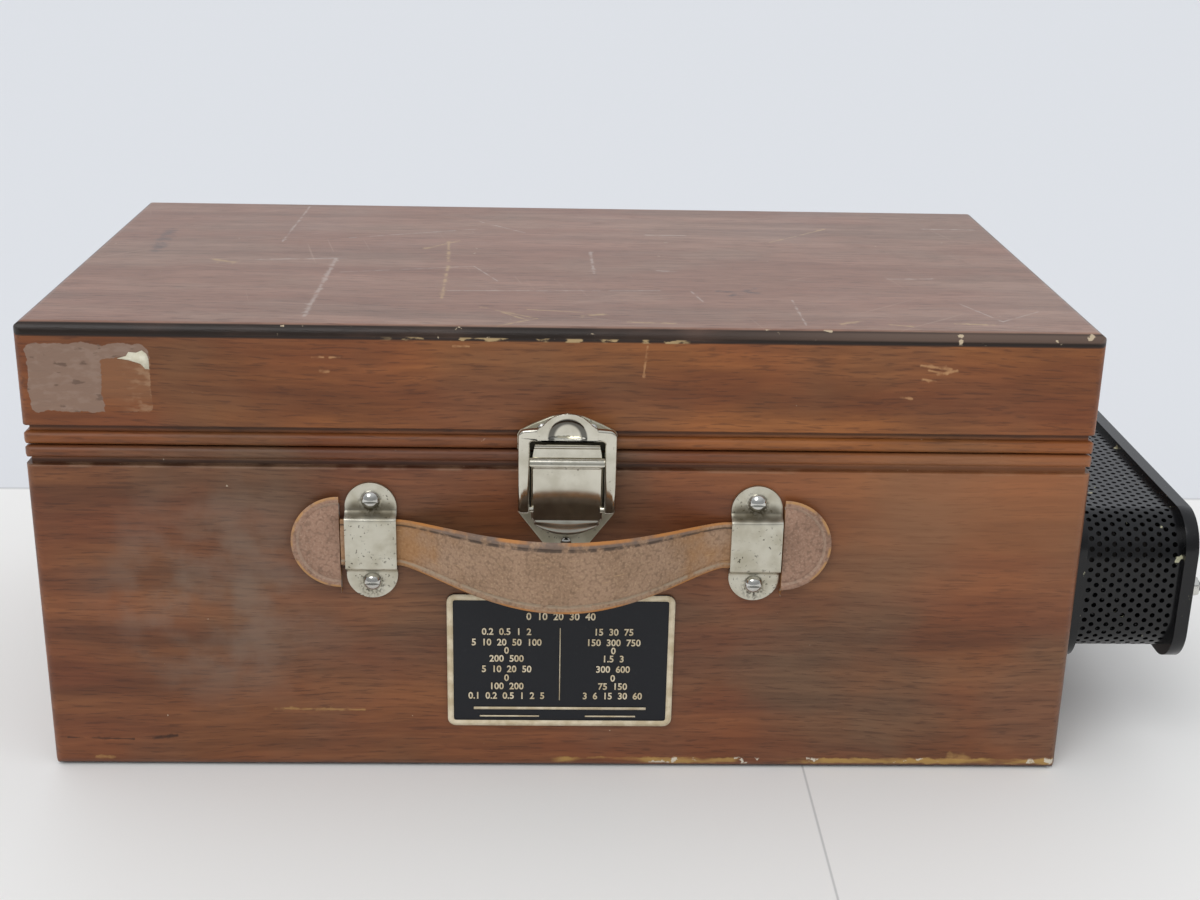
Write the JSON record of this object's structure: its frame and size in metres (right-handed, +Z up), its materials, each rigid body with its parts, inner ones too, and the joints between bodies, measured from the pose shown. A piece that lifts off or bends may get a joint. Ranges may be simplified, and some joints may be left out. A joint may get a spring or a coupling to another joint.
{
  "type": "multirange meter",
  "caption": "Portable multirange electrical meter in a hinged wooden carrying case with a leather strap handle, a draw latch and a perforated resistor cage on one side.",
  "frame": {"origin": "centre of the wooden case's underside", "axes": "+X along the front to the right, where the cage is; +Y to the back; +Z up"},
  "size_m": [0.3899, 0.2178, 0.156],
  "materials": {
    "case_wood": "satin varnish, worn",
    "lid_wood": "satin varnish, worn",
    "lid_top_wood": "satin varnish, scratched",
    "hinge_brass": "tarnished",
    "latch_nickel": "bright nickel plate",
    "handle_leather": "worn grain",
    "handle_nickel": "dull nickel plate",
    "plate_black": "black enamel with a pale rim",
    "cage_black": "black enamel, chipped",
    "cage_steel": "plain",
    "wire_spools": "varnished",
    "panel_black": "polished ebonite",
    "panel_nickel": "nickel plate",
    "meter_black": "gloss",
    "meter_glass": "clear",
    "dial_white": "matt ivory",
    "movement_iron": "blued",
    "movement_brass": "plain",
    "coil_copper": "varnished wire",
    "pointer_black": "black",
    "knob_black": "moulded",
    "deck_brown": "laminate"
  },
  "bodies": {
    "case": {"front_board": "case_wood", "back_board": "case_wood", "left_board": "case_wood", "right_board": "case_wood", "bottom_board": "case_wood", "panel_cleats": "case_wood", "hinge_case_leaves": "hinge_brass", "hinge_case_screws": "hinge_brass", "hinge_pins": "hinge_brass", "latch_base": "latch_nickel", "latch_hinge_pin": "latch_nickel", "handle_loop_left": "handle_nickel", "handle_loop_right": "handle_nickel", "front_screws": "handle_nickel", "name_plate": "plate_black", "cage_inner_plate": "cage_black", "cage_sleeve": "cage_black", "cage_outer_plate": "cage_black", "cage_tie_rods": "cage_steel", "cage_nuts": "cage_steel", "cage_resistors": "wire_spools", "spool_resistors": "wire_spools", "thermal_converter": "wire_spools", "panel": "panel_black", "panel_screws": "panel_nickel", "post_studs": "panel_nickel", "meter_bezel": "meter_black", "meter_case": "meter_black", "meter_glass": "meter_glass", "dial_plate": "dial_white", "magnet": "movement_iron", "pole_pieces": "movement_iron", "armature_core": "movement_iron", "movement_bridges": "movement_brass", "switch_bushings": "movement_brass", "switch_decks": "deck_brown"},
    "lid": {"lid_top": "lid_top_wood", "lid_front": "lid_wood", "lid_back": "lid_wood", "lid_left": "lid_wood", "lid_right": "lid_wood", "hinge_lid_leaves": "hinge_brass", "lid_screws": "hinge_brass", "latch_strike": "latch_nickel"},
    "latch_lever": {"latch_lever": "latch_nickel", "latch_loop_pins": "latch_nickel"},
    "latch_loop": {"latch_loop": "latch_nickel"},
    "handle": {"handle_strap": "handle_leather"},
    "movement": {"moving_coil": "coil_copper", "pointer": "pointer_black", "hairsprings": "movement_brass"},
    "zero_adjuster": {"zero_adjuster": "panel_nickel"},
    "dc_switch": {"dc_knob": "knob_black", "dc_rotor": "movement_brass"},
    "ac_switch": {"ac_knob": "knob_black", "ac_rotor": "movement_brass"},
    "post_cap_left": {"post_cap_left": "knob_black"},
    "post_cap_middle": {"post_cap_middle": "knob_black"},
    "post_cap_right": {"post_cap_right": "knob_black"}
  },
  "joints": [
    {"name": "lid_hinge", "type": "hinge", "parent": "case", "child": "lid", "pos_m": [0, 0.0964, 0.1155], "axis": [-1, 0, 0], "range_deg": [0, 100]},
    {"name": "latch_lever_pivot", "type": "hinge", "parent": "case", "child": "latch_lever", "pos_m": [0.0011, -0.0975, 0.1126], "axis": [-1, 0, 0], "range_deg": [0, 90]},
    {"name": "latch_loop_pivot", "type": "hinge", "parent": "latch_lever", "child": "latch_loop", "pos_m": [0.0011, -0.09855, 0.0974], "axis": [-1, 0, 0], "range_deg": [-60, 0]},
    {"name": "handle_shift", "type": "slide", "parent": "case", "child": "handle", "axis": [1, 0, 0], "range_m": [-0.0003, 0.0015]},
    {"name": "pointer_swing", "type": "hinge", "parent": "case", "child": "movement", "pos_m": [-0.076, -0.034, 0.1], "axis": [0, 0, -1], "range_deg": [0, 90], "stiffness_Nm_per_rad": 0.0002},
    {"name": "zero_turn", "type": "hinge", "parent": "case", "child": "zero_adjuster", "pos_m": [-0.076, -0.055, 0.115], "axis": [0, 0, 1], "range_deg": [-60, 60]},
    {"name": "dc_switch_turn", "type": "hinge", "parent": "case", "child": "dc_switch", "pos_m": [0.052, 0.02, 0.1073], "axis": [0, 0, -1], "range_deg": [0, 279]},
    {"name": "ac_switch_turn", "type": "hinge", "parent": "case", "child": "ac_switch", "pos_m": [0.118, 0.02, 0.1073], "axis": [0, 0, -1], "range_deg": [0, 279]},
    {"name": "post_cap_left_lift", "type": "slide", "parent": "case", "child": "post_cap_left", "axis": [0, 0, 1], "range_m": [0, 0.005]},
    {"name": "post_cap_middle_lift", "type": "slide", "parent": "case", "child": "post_cap_middle", "axis": [0, 0, 1], "range_m": [0, 0.005]},
    {"name": "post_cap_right_lift", "type": "slide", "parent": "case", "child": "post_cap_right", "axis": [0, 0, 1], "range_m": [0, 0.005]}
  ],
  "couplings": [
    {"joint": "latch_loop_pivot", "follows": "latch_lever_pivot", "ratio": -0.62}
  ]
}
